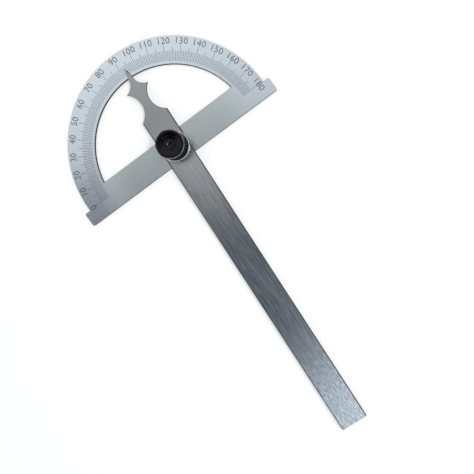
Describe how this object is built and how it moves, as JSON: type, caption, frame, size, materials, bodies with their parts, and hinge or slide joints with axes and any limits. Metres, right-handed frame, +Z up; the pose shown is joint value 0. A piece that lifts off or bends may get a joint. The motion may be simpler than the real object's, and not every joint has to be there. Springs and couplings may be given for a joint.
{
  "type": "bevel protractor",
  "caption": "Steel half-ring degree scale on a straight base bar, with a long swinging blade and spear pointer, clamped by a black knurled thumb nut.",
  "frame": {"origin": "on the pivot axis, in the flush back face of the scale plate", "axes": "+X along the base bar to the 180 degree end, +Y to the 90 degree mark, +Z up through the lock knob"},
  "size_m": [0.0848, 0.1633, 0.0101],
  "materials": {
    "scale_plate": "fine brushed",
    "pivot_stud": "turned",
    "spacer_washer": "satin",
    "blade": "long brushed grain",
    "wave_washer": "spring steel",
    "keyed_washer": "bright",
    "lock_knob": "black oxide, turned top, knurled rim"
  },
  "bodies": {
    "base": {"scale_plate": "scale_plate", "pivot_stud": "pivot_stud", "spacer_washer": "spacer_washer", "wave_washer": "wave_washer", "keyed_washer": "keyed_washer"},
    "arm": {"blade": "blade"},
    "nut": {"lock_knob": "lock_knob"}
  },
  "joints": [
    {"name": "blade_swing", "type": "hinge", "parent": "base", "child": "arm", "pos_m": [0, 0, 0.00172], "axis": [0, 0, 1], "range_deg": [-86.8, 93.2]},
    {"name": "knob_turn", "type": "hinge", "parent": "base", "child": "nut", "pos_m": [0, 0, 0.0066], "axis": [0, 0, 1], "range_deg": [0, 360]}
  ]
}
